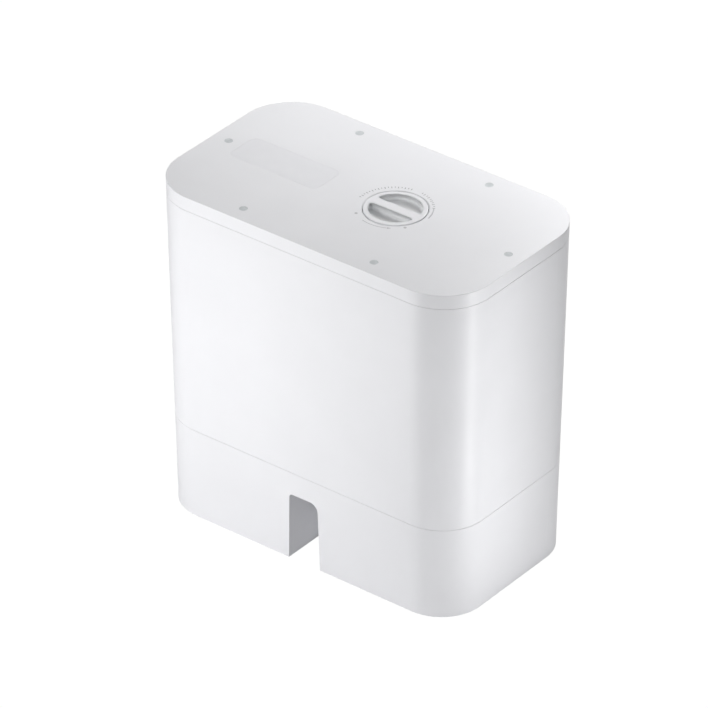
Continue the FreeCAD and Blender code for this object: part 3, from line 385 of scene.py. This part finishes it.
def charcoal_felt(settings):
    """Loose dark felt with lighter fibres."""
    surface = Surface("charcoal_felt", settings.felt, roughness=0.95, Sheen_Weight=0.4, Sheen_Roughness=0.5)
    surface.drift_colour(surface.noise(size=0.0012, detail=6.0), settings.fibre, low=0.4, high=0.7)
    surface.bump(surface.noise(size=0.0005, detail=5.0), depth=0.0002)
    surface.bump(surface.cells(size=0.0012), depth=0.0001)
    return surface


def belt_rubber(settings):
    """Rubber with fine moulded ribs."""
    surface = soft("belt_rubber", settings.belt, roughness=0.62)
    surface.bump(surface.rings(0.0012), depth=0.00004)
    return surface


def lens_clear(settings):
    """Clear lens with moulded cells that spread the light."""
    surface = Surface("lens_clear", settings.lens, roughness=0.12, Transmission_Weight=0.35, Coat_Weight=0.6)
    surface.drift_colour(surface.cells(size=0.0011), settings.lens_cell, low=0.2, high=0.8)
    surface.drift_gloss(surface.noise(size=0.002, detail=3.0), low=0.08, high=0.20)
    surface.bump(surface.cells(size=0.0011), depth=0.00004)
    return surface


def motor_paint(settings):
    """Coated paint, rubbed in places."""
    surface = Surface("motor_paint", settings.motor, roughness=0.38, Coat_Weight=0.4, Coat_Roughness=0.3)
    surface.drift_colour(surface.noise(size=0.006, detail=5.0), settings.motor_worn, low=0.45, high=0.8)
    surface.drift_gloss(surface.noise(size=0.002, detail=4.0), low=0.30, high=0.50)
    surface.bump(surface.noise(size=0.0007, detail=3.0), depth=0.00004)
    return surface


def dress(surface, *names):
    """Give CAD nodes their finish."""
    for name in names:
        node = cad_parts[name]
        node.data.materials.clear()
        node.data.materials.append(surface.material)
        for polygon in node.data.polygons:
            polygon.material_index = 0
        node.data.shade_smooth()
        node.data.set_sharp_from_angle(angle=SHARP_ANGLE)


# Mesh building

def new_object(name, data):
    """An object of the scene that shows the data."""
    thing = bpy.data.objects.new(name, data)
    bpy.context.scene.collection.objects.link(thing)
    return thing


def printed_piece(name, surface, body, build):
    """A printed mesh that rides on its body, built by build with its faces outward."""
    mesh = bpy.data.meshes.new(name)
    piece = new_object(name, mesh)
    mesh.materials.append(surface.material)
    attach(piece, body)
    shape = bmesh.new()
    build(shape)
    bmesh.ops.recalc_face_normals(shape, faces=shape.faces)
    shape.to_mesh(mesh)
    shape.free()


def slab(shape, outline, low, high, along="Z"):
    """Closed prism along Z over an outline of (x, y) points, or along Y over one of (x, z) points."""
    order = (0, 1, 2) if along == "Z" else (0, 2, 1)
    rings = []
    for end in (low, high):
        points = [(across, other, end) for across, other in outline]
        rings.append([shape.verts.new([point[axis] for axis in order]) for point in points])
    count = len(outline)
    shape.faces.new(list(reversed(rings[0])))
    shape.faces.new(rings[1])
    for index in range(count):
        after = (index + 1) % count
        shape.faces.new((rings[0][index], rings[0][after], rings[1][after], rings[1][index]))


def polar(centre, radius, angle):
    """The (x, y) point at an angle and a radius around a centre."""
    return centre[0] + radius * math.cos(angle), centre[1] + radius * math.sin(angle)


def arc_strip(centre, radius, width, start, end):
    """Outline of a printed line along an arc."""
    steps = max(2, int(abs(end - start) / math.radians(ARC_STEP)))
    angles = [start + (end - start) * step / steps for step in range(steps + 1)]
    outer = [polar(centre, radius + width / 2, angle) for angle in angles]
    inner = [polar(centre, radius - width / 2, angle) for angle in reversed(angles)]
    return outer + inner


def disc(centre, radius):
    """Outline of a round dot."""
    return [polar(centre, radius, math.tau * step / DOT_POINTS) for step in range(DOT_POINTS)]


def button_sign(name, button, body, surface, outline):
    """Thin sign printed on a button's outer face, sized by the button."""
    low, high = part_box(button)
    middle = ((low.x + high.x) / 2, (low.z + high.z) / 2)
    reach = (high.z - low.z) / 2
    corners = [(middle[0] + across * reach, middle[1] + up * reach) for across, up in outline]
    printed_piece(name, surface, body,
                  lambda shape: slab(shape, corners, high.y - INK_DEPTH, high.y + INK_LIFT, "Y"))


# Operators

def settings_of(context, name):
    """The scene's settings of one group."""
    return getattr(context.scene, SCENE_PREFIX + name)


class COMPACTOR_OT_casing(bpy.types.Operator):
    """Finish the white shells, the drawer front and the cap"""
    bl_idname = "compactor.casing"
    bl_label = "Casing"

    def execute(self, context):
        settings = settings_of(context, "casing")
        white = moulded("casing_white", settings.white, settings.roughness, settings.spark, SATIN_DEPTH)
        dress(white, "base_housing", "main_casing", "top_cover", "drawer_front")
        dress(moulded("cap_white", scaled(settings.white, CAP_BRIGHTER), settings.roughness - CAP_SMOOTHER,
                      settings.spark, SATIN_DEPTH), "odour_cap")
        return {"FINISHED"}


class COMPACTOR_OT_plugs(bpy.types.Operator):
    """Finish the grey plugs, the finger pockets and the sticker"""
    bl_idname = "compactor.plugs"
    bl_label = "Plugs, pockets and sticker"

    def execute(self, context):
        settings = settings_of(context, "casing")
        dress(soft("plug_grey", settings.grey, roughness=0.55), "screw_plugs")
        dress(pocket_grey(settings), "cap_cup")
        dress(sticker_film(settings), "cover_label")
        return {"FINISHED"}


class COMPACTOR_OT_lock_scale(bpy.types.Operator):
    """Print the tick scale, the lock dots and the turning arrow around the cap"""
    bl_idname = "compactor.lock_scale"
    bl_label = "Lock scale"

    def execute(self, context):
        settings = settings_of(context, "print")
        ink = print_ink("print_ink", settings.ink)
        pale = print_ink("print_pale", settings.pale)
        low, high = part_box("odour_cap")
        centre = ((low.x + high.x) / 2 - settings.offset, (low.y + high.y) / 2)
        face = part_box("top_cover")[1].z

        def printed(name, surface, outlines):
            printed_piece(name, surface, "housing", lambda shape: [
                slab(shape, outline, face - INK_DEPTH, face + INK_LIFT) for outline in outlines])

        ticks = []
        outer = settings.radius + settings.tick / 2
        half = settings.line / 2 / outer
        for start, end in TICK_BANDS:
            count = int(round(math.radians(end - start) / settings.step))
            for index in range(count + 1):
                angle = math.radians(start + (end - start) * index / count)
                inner = outer - settings.tick * (1.0 if index % 2 == 0 else SHORT_TICK)
                corners = ((inner, -half), (outer, -half), (outer, half), (inner, half))
                ticks.append([polar(centre, radius, angle + shift) for radius, shift in corners])
        printed("lock_ticks", ink, ticks)

        printed("lock_arcs", pale, [
            arc_strip(centre, settings.radius, settings.line * lines, math.radians(start), math.radians(end))
            for start, end, lines in (TURN_ARC, SIDE_ARC)])

        tip_angle = math.radians(TURN_ARC[1] + ARROW_LEAD)
        wing_angle = tip_angle - math.radians(ARROW_LENGTH)
        spread = settings.line * ARROW_SPREAD
        printed("lock_arrow", pale, [[
            polar(centre, settings.radius, tip_angle),
            polar(centre, settings.radius + spread, wing_angle),
            polar(centre, settings.radius - spread, wing_angle)]])

        printed("lock_dots", pale, [
            disc(polar(centre, settings.radius, math.radians(angle)), settings.dot) for angle in LOCK_DOTS])
        return {"FINISHED"}


class COMPACTOR_OT_drawer(bpy.types.Operator):
    """Finish the bin, its pull, its glides and rails"""
    bl_idname = "compactor.drawer"
    bl_label = "Drawer"

    def execute(self, context):
        settings = settings_of(context, "drawer")
        dress(moulded("bin_grey", settings.bin, roughness=0.48, spark=0.0008, depth=0.00004), "waste_bin")
        dress(moulded("pull_grey", settings.pull, roughness=0.5, spark=0.0006, depth=0.00004), "drawer_pull")
        dress(moulded("glide_white", settings.glide, roughness=0.35, spark=0.0008),
              "drawer_glides", "ram_glides")
        dress(brushed("rail_steel", settings.rail, roughness=0.34, stretch=lines_along("Y", 0.04)),
              "drawer_rails")
        return {"FINISHED"}


class COMPACTOR_OT_controls(bpy.types.Operator):
    """Finish the control strip"""
    bl_idname = "compactor.controls"
    bl_label = "Control strip"

    def execute(self, context):
        settings = settings_of(context, "controls")
        dress(moulded("bezel_grey", settings.bezel, roughness=0.45, spark=0.0005, depth=0.00003),
              "control_bezel")
        dress(moulded("button_green", settings.start, roughness=0.36, spark=0.0004), "start_button")
        dress(moulded("button_grey", settings.stop, roughness=0.36, spark=0.0004), "stop_button")
        sign = print_ink("sign_white", settings.sign)
        button_sign("start_sign", "start_button", "start_key", sign, START_SIGN)
        button_sign("stop_sign", "stop_button", "stop_key", sign, STOP_SIGN)
        dress(lens_clear(settings), "status_lens")
        dress(circuit_green(settings), "switch_board", "control_board")
        dress(soft("switch_black", settings.switch, roughness=0.4),
              "drawer_switch", "limit_switches", "board_components")
        return {"FINISHED"}


class COMPACTOR_OT_base(bpy.types.Operator):
    """Finish the base plate, feet, inlet and supply"""
    bl_idname = "compactor.base"
    bl_label = "Base"

    def execute(self, context):
        settings = settings_of(context, "base")
        dress(brushed("plate_zinc", settings.plate, roughness=0.36, stretch=lines_along("X", 0.03)),
              "base_plate", "drive_deck", "top_deck")
        dress(soft("foot_rubber", settings.rubber, roughness=0.7), "rubber_feet", "cap_seal")
        dress(soft("inlet_black", settings.inlet, roughness=0.42), "power_inlet")
        dress(turned("pin_brass", settings.pin, roughness=0.28), "inlet_pins")
        dress(brushed("supply_case", settings.supply, roughness=0.4, stretch=lines_along("Y", 0.05)),
              "power_supply")
        dress(turned("screw_zinc", settings.screw, roughness=0.32, pitch=0.0004),
              "base_screws", "deck_screws", "motor_screws", "frame_screws", "cover_screws", "ram_bolts",
              "drawer_screws")
        return {"FINISHED"}


class COMPACTOR_OT_drive(bpy.types.Operator):
    """Finish the motor, gears, shafts, pulleys and belts"""
    bl_idname = "compactor.drive"
    bl_label = "Drive"

    def execute(self, context):
        settings = settings_of(context, "drive")
        dress(motor_paint(settings), "drive_motor")
        dress(turned("gear_steel", settings.pinion, roughness=0.3), "motor_pinion")
        dress(moulded("gear_nylon", settings.gear, roughness=0.42, spark=0.0007, depth=0.00004),
              "reduction_gear")
        dress(turned("pulley_alloy", settings.pulley, roughness=0.3),
              "drive_pulley", "left_pulley", "right_pulley")
        dress(turned("shaft_steel", settings.shaft, roughness=0.2, pitch=0.0003),
              "jackshaft", "jackshaft_bearings", "left_lead_screw", "right_lead_screw")
        dress(turned("bush_bronze", settings.bush, roughness=0.4), "lower_bearings", "upper_bearings")
        dress(belt_rubber(settings), "left_belt", "right_belt")
        return {"FINISHED"}


class COMPACTOR_OT_press(bpy.types.Operator):
    """Finish the press frame and the ram"""
    bl_idname = "compactor.press"
    bl_label = "Press"

    def execute(self, context):
        settings = settings_of(context, "press")
        dress(brushed("post_steel", settings.post, roughness=0.36, stretch=lines_along("Z", 0.03)),
              "left_upright", "right_upright")
        dress(brushed("beam_alloy", settings.beam, roughness=0.34, stretch=lines_along("X", 0.03)),
              "ram_crossbeam")
        dress(brushed("ram_stainless", settings.ram, roughness=0.28, stretch=lines_along("X", 0.03)),
              "ram_box", "ram_plate")
        dress(turned("nut_brass", settings.nut, roughness=0.3), "ram_nuts")
        return {"FINISHED"}


class COMPACTOR_OT_odour(bpy.types.Operator):
    """Finish the odour socket, basket and cartridge"""
    bl_idname = "compactor.odour"
    bl_label = "Odour cartridge"

    def execute(self, context):
        settings = settings_of(context, "odour")
        dress(moulded("socket_grey", settings.socket, roughness=0.5, spark=0.0006), "odour_socket")
        dress(moulded("basket_grey", settings.basket, roughness=0.45, spark=0.0006), "odour_basket")
        dress(charcoal_felt(settings), "odour_cartridge")
        return {"FINISHED"}


# Soft boxes: name, watts, width and height, place, and the point each one faces, in metres
SOFT_BOXES = (
    ("rear_key", 0.92, (0.50, 0.50), (-0.334, 0.579, 0.758), (0.0, 0.0, 0.156)),
    ("rear_overhead", 1.81, (0.30, 0.30), (0.05, 0.40, 0.62), (0.05, 0.05, 0.31)),
    ("left_overhead", 0.36, (0.25, 0.25), (-0.50, 0.40, 0.62), (-0.15, 0.12, 0.30)),
    ("corner_strip", 0.30, (0.04, 0.40), (0.30, -0.04, 0.20), (0.15, -0.05, 0.20)),
    ("front_left", 0.73, (0.30, 0.34), (-0.15, -0.45, 0.18), (-0.05, -0.09, 0.16)),
    ("front_high", 5.20, (0.60, 0.60), (0.0, -1.30, 1.00), (0.0, 0.0, 0.20)),
    ("front_high_left", 4.85, (0.60, 0.60), (-0.90, -1.00, 1.00), (0.0, 0.0, 0.20)),
    ("behind", 1.15, (0.36, 0.40), (-0.05, 0.80, 0.20), (0.0, 0.09, 0.15)),
)


class COMPACTOR_OT_stage(bpy.types.Operator):
    """Set the floor, the lights, the white ground and the camera"""
    bl_idname = "compactor.stage"
    bl_label = "Stage"

    def execute(self, context):
        settings = settings_of(context, "stage")
        low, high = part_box("top_cover")
        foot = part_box("base_housing")[0]
        middle = Vector(((low.x + high.x) / 2, (low.y + high.y) / 2, (foot.z + high.z) / 2))
        make_floor(settings)
        make_ground(settings)
        for name, watts, size, place, target in SOFT_BOXES:
            soft_box(name, watts * settings.power, size, Vector(place), Vector(target))
        make_camera(settings, middle)
        context.scene.view_settings.view_transform = "Standard"
        context.scene.view_settings.look = "None"
        return {"FINISHED"}


def white_to_the_eye(tree, shader, output, glow):
    """Show plain white where the ground is looked at, and light the compactor by the shader."""
    path = tree.nodes.new("ShaderNodeLightPath")
    white = tree.nodes.new("ShaderNodeEmission" if output.bl_idname == "ShaderNodeOutputMaterial"
                           else "ShaderNodeBackground")
    white.inputs["Color"].default_value = WHITE
    white.inputs["Strength"].default_value = glow
    mix = tree.nodes.new("ShaderNodeMixShader")
    tree.links.new(path.outputs["Is Camera Ray"], mix.inputs["Fac"])
    tree.links.new(shader.outputs[0], mix.inputs[1])
    tree.links.new(white.outputs[0], mix.inputs[2])
    tree.links.new(mix.outputs[0], output.inputs["Surface"])


def make_floor(settings):
    """Matt floor, which shows as part of the white ground."""
    sweep = Surface("floor_white", settings.floor, roughness=0.9)
    sweep.drift_gloss(sweep.noise(size=0.3), low=0.85, high=0.95)
    white_to_the_eye(sweep.tree, sweep.shader, sweep.tree.nodes["Material Output"], settings.glow)
    mesh = bpy.data.meshes.new("floor")
    floor = new_object("floor", mesh)
    mesh.materials.append(sweep.material)
    shape = bmesh.new()
    bmesh.ops.create_circle(shape, cap_ends=True, segments=FLOOR_SIDES, radius=FLOOR_RADIUS)
    shape.to_mesh(mesh)
    shape.free()


def make_ground(settings):
    """White ground with an even fill light."""
    world = bpy.data.worlds.new("white_ground")
    world.use_nodes = True
    around = world.node_tree.nodes["Background"]
    around.inputs["Color"].default_value = WHITE
    around.inputs["Strength"].default_value = settings.fill
    white_to_the_eye(world.node_tree, around, world.node_tree.nodes["World Output"], settings.glow)
    bpy.context.scene.world = world


def soft_box(name, watts, size, place, target):
    """Area light that stands at a place, faces a target and isn't seen itself."""
    light = bpy.data.lights.new(name, "AREA")
    light.shape = "RECTANGLE"
    light.size, light.size_y = size
    light.energy = watts
    lamp = new_object(name, light)
    lamp.location = place
    lamp.rotation_euler = (place - target).to_track_quat("Z", "Y").to_euler()
    lamp.visible_camera = False


def make_camera(settings, middle):
    """Long-lens camera around the middle of the housing."""
    data = bpy.data.cameras.new("camera")
    data.lens = settings.lens
    data.sensor_width = SENSOR_WIDTH
    data.dof.use_dof = False
    data.clip_end = FAR_CLIP
    camera = new_object("camera", data)
    around, tilt = settings.azimuth, settings.elevation
    back = Vector((math.sin(around) * math.cos(tilt), -math.cos(around) * math.cos(tilt), math.sin(tilt)))
    right = Vector((math.cos(around), math.sin(around), 0.0))
    up = back.cross(right)
    camera.location = middle + back * settings.distance - right * settings.slide + up * settings.rise
    camera.rotation_euler = back.to_track_quat("Z", "Y").to_euler()
    bpy.context.scene.camera = camera


OPERATORS = (
    COMPACTOR_OT_casing, COMPACTOR_OT_plugs, COMPACTOR_OT_lock_scale, COMPACTOR_OT_drawer,
    COMPACTOR_OT_controls, COMPACTOR_OT_base, COMPACTOR_OT_drive, COMPACTOR_OT_press, COMPACTOR_OT_odour,
    COMPACTOR_OT_stage,
)


class COMPACTOR_PT_panel(bpy.types.Panel):
    """Lists the compactor's steps"""
    bl_idname = "COMPACTOR_PT_panel"
    bl_label = "Compactor"
    bl_space_type = "VIEW_3D"
    bl_region_type = "UI"
    bl_category = "Compactor"

    def draw(self, context):
        for operator in OPERATORS:
            self.layout.operator(operator.bl_idname)
        for name, group in SETTINGS.items():
            box = self.layout.box()
            box.label(text=name.capitalize())
            for setting in group.__annotations__:
                box.prop(settings_of(context, name), setting)


def register():
    for group in SETTINGS.values():
        bpy.utils.register_class(group)
    for cls in OPERATORS + (COMPACTOR_PT_panel,):
        bpy.utils.register_class(cls)
    for name, group in SETTINGS.items():
        setattr(bpy.types.Scene, SCENE_PREFIX + name, PointerProperty(type=group))


def unregister():
    for name in SETTINGS:
        delattr(bpy.types.Scene, SCENE_PREFIX + name)
    for cls in (COMPACTOR_PT_panel,) + OPERATORS:
        bpy.utils.unregister_class(cls)
    for group in SETTINGS.values():
        bpy.utils.unregister_class(group)


def main():
    register()
    for operator in OPERATORS:
        getattr(bpy.ops.compactor, operator.bl_idname.split(".")[1])()


if __name__ == "__main__":
    main()
